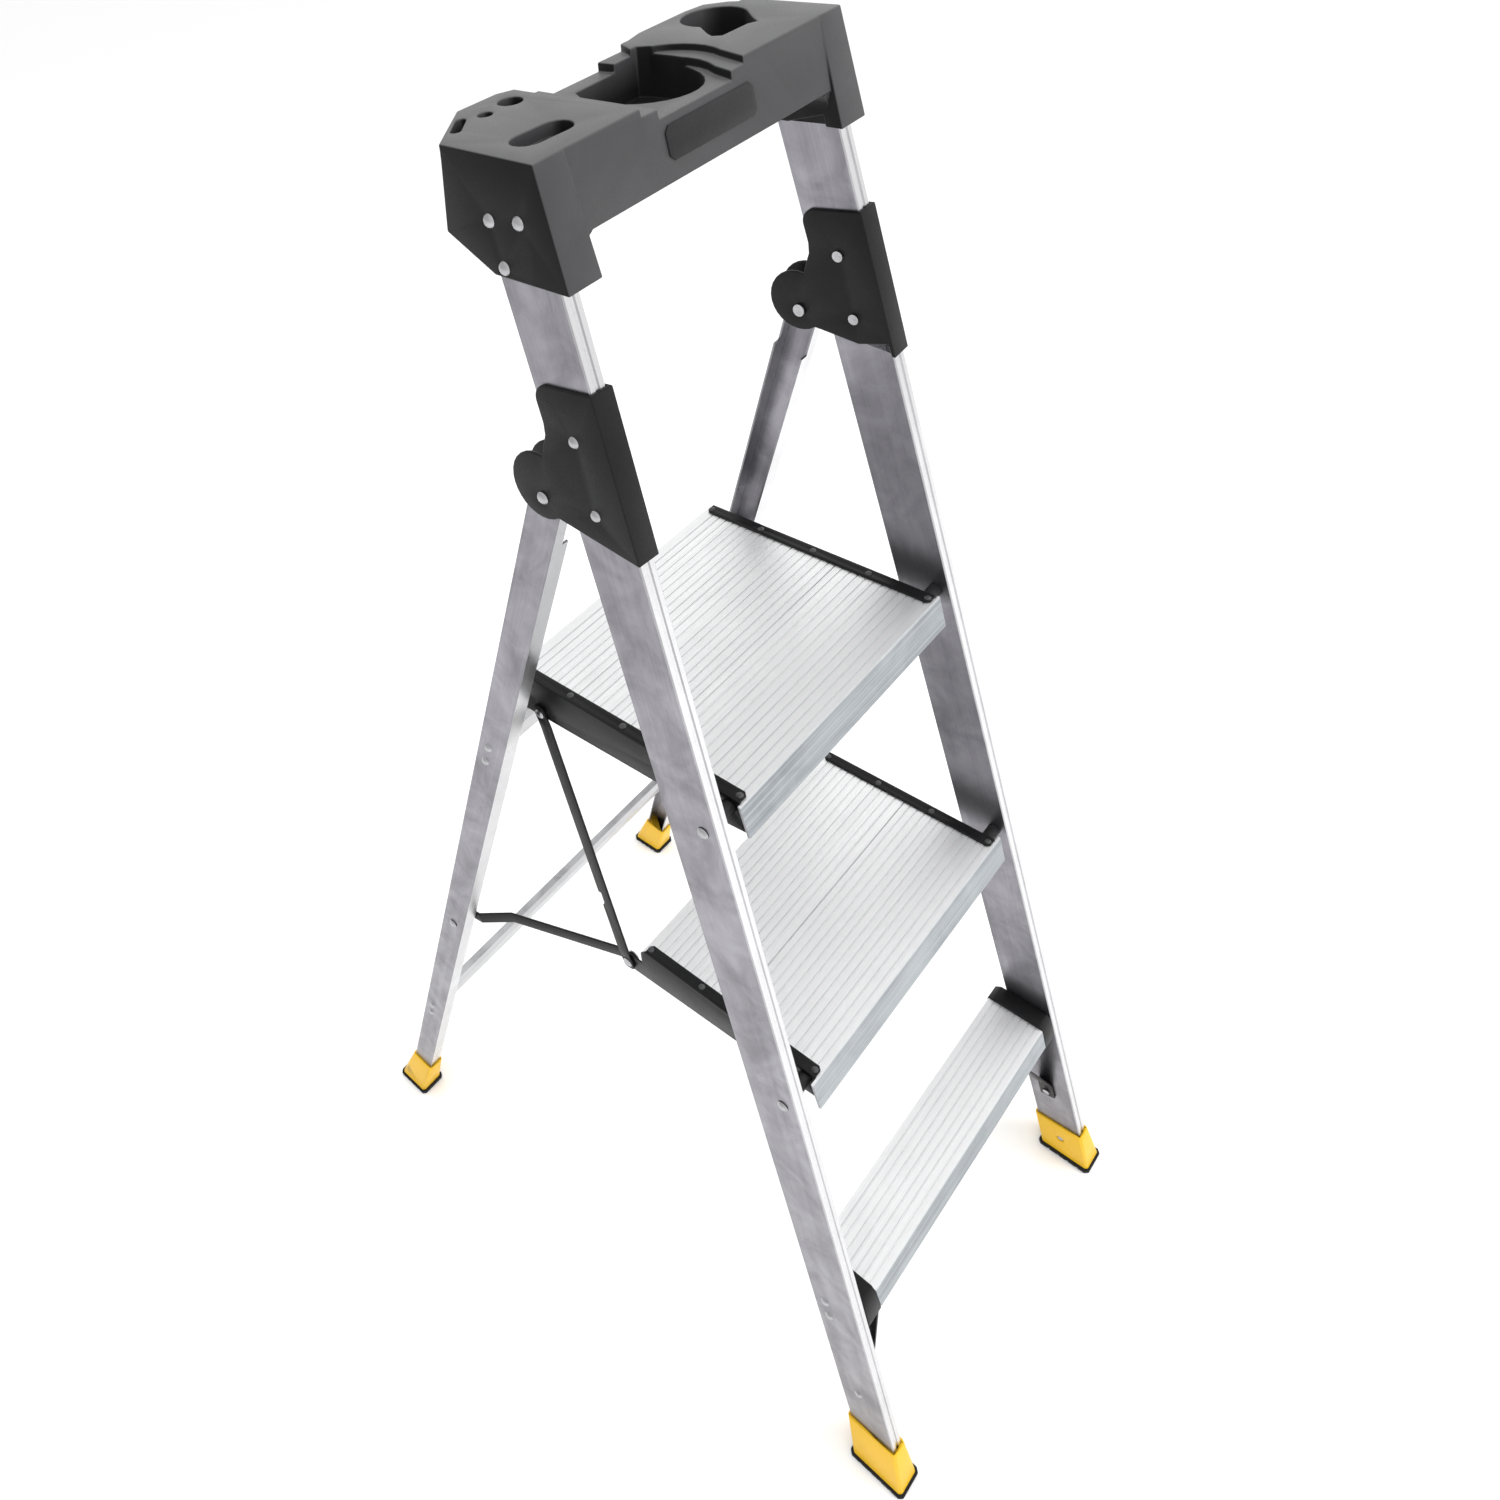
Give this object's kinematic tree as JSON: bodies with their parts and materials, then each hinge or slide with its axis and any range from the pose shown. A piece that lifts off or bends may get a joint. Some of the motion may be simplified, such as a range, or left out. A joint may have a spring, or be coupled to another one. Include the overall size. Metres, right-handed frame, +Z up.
{
  "type": "step ladder",
  "caption": "Folding platform step ladder with leaning front rails, splayed rear legs, planked treads, a moulded tool tray cap and hooked tie bars.",
  "frame": {"origin": "on the ground, at the middle of the ladder's footprint", "axes": "+Z up, +X across the ladder, -Y towards the side it is climbed from"},
  "size_m": [0.584, 0.8035, 1.4],
  "materials": {
    "aluminium_profile": "extruded, fine drawn grain",
    "aluminium_tread": "satin, ribbed",
    "black_textured_paint": "black powder coat, slightly rough",
    "black_paint": "black powder coat, semi-gloss",
    "black_plastic": "moulded, matte",
    "grey_plastic": "moulded, fine grain",
    "yellow_plastic": "moulded, satin",
    "black_rubber": "moulded rubber",
    "rivet_metal": "formed heads, bright",
    "screw_steel": "zinc plated",
    "spacer_steel": "dark tube"
  },
  "bodies": {
    "front_frame": {"front_rail_left": "aluminium_profile", "front_rail_right": "aluminium_profile", "top_cap": "grey_plastic", "cap_plate": "grey_plastic", "cap_rivets": "rivet_metal", "hinge_bracket_left": "black_textured_paint", "hinge_bracket_right": "black_textured_paint", "hinge_bracket_rivets": "rivet_metal", "hinge_pins": "rivet_metal", "upper_pivot_rivets": "rivet_metal", "upper_pivot_spacers": "spacer_steel", "lower_pivot_rivets": "rivet_metal", "lower_pivot_spacers": "spacer_steel", "bottom_step": "aluminium_tread", "step_end_cap_left": "black_plastic", "step_end_cap_right": "black_plastic", "step_rivets": "rivet_metal", "knee_brace_left": "black_paint", "knee_brace_right": "black_paint", "knee_brace_rivets": "rivet_metal", "front_shoe_left": "yellow_plastic", "front_shoe_right": "yellow_plastic", "front_shoe_rivets": "rivet_metal", "front_sole_left": "black_rubber", "front_sole_right": "black_rubber"},
    "rear_frame": {"rear_leg_left": "aluminium_profile", "rear_leg_right": "aluminium_profile", "upper_cross_brace": "aluminium_profile", "lower_cross_brace": "aluminium_profile", "upper_brace_rivets": "rivet_metal", "lower_brace_rivets": "rivet_metal", "tie_pivot_rivets": "rivet_metal", "rear_shoe_left": "yellow_plastic", "rear_shoe_right": "yellow_plastic", "rear_sole_left": "black_rubber", "rear_sole_right": "black_rubber"},
    "upper_platform": {"upper_plank_front": "aluminium_tread", "upper_plank_middle": "aluminium_tread", "upper_plank_rear": "aluminium_tread", "upper_bracket_left": "black_paint", "upper_bracket_right": "black_paint", "upper_platform_screws": "screw_steel", "strut_top_pins": "black_paint"},
    "lower_platform": {"lower_plank_front": "aluminium_tread", "lower_plank_rear": "aluminium_tread", "lower_bracket_left": "black_paint", "lower_bracket_right": "black_paint", "lower_platform_screws": "screw_steel", "strut_foot_pins": "black_paint"},
    "strut_left": {"strut_left": "black_paint"},
    "strut_right": {"strut_right": "black_paint"},
    "tie_bar_left": {"tie_bar_left": "black_paint"},
    "tie_bar_right": {"tie_bar_right": "black_paint"}
  },
  "joints": [
    {"name": "rear_swing", "type": "hinge", "parent": "front_frame", "child": "rear_frame", "pos_m": [0, 0.0048, 1.162], "axis": [-1, 0, 0], "range_deg": [0, 31]},
    {"name": "upper_fold", "type": "hinge", "parent": "front_frame", "child": "upper_platform", "pos_m": [0, -0.13132, 0.903], "axis": [1, 0, 0], "range_deg": [0, 74.4]},
    {"name": "lower_fold", "type": "hinge", "parent": "front_frame", "child": "lower_platform", "pos_m": [0, -0.21591, 0.598], "axis": [1, 0, 0], "range_deg": [0, 74.4]},
    {"name": "strut_left_swing", "type": "hinge", "parent": "upper_platform", "child": "strut_left", "pos_m": [0, 0.07968, 0.875], "axis": [-1, 0, 0], "range_deg": [0, 74.4]},
    {"name": "strut_right_swing", "type": "hinge", "parent": "upper_platform", "child": "strut_right", "pos_m": [0, 0.07968, 0.875], "axis": [-1, 0, 0], "range_deg": [0, 74.4]},
    {"name": "tie_left_swing", "type": "hinge", "parent": "rear_frame", "child": "tie_bar_left", "pos_m": [0, 0.21353, 0.504], "axis": [1, 0, 0], "range_deg": [0, 124]},
    {"name": "tie_right_swing", "type": "hinge", "parent": "rear_frame", "child": "tie_bar_right", "pos_m": [0, 0.21353, 0.504], "axis": [1, 0, 0], "range_deg": [0, 124]}
  ],
  "couplings": [
    {"joint": "upper_fold", "follows": "rear_swing", "ratio": 2.4},
    {"joint": "lower_fold", "follows": "rear_swing", "ratio": 2.4},
    {"joint": "strut_left_swing", "follows": "rear_swing", "ratio": 2.4},
    {"joint": "strut_right_swing", "follows": "rear_swing", "ratio": 2.4},
    {"joint": "tie_left_swing", "follows": "rear_swing", "ratio": 4},
    {"joint": "tie_right_swing", "follows": "rear_swing", "ratio": 4}
  ]
}
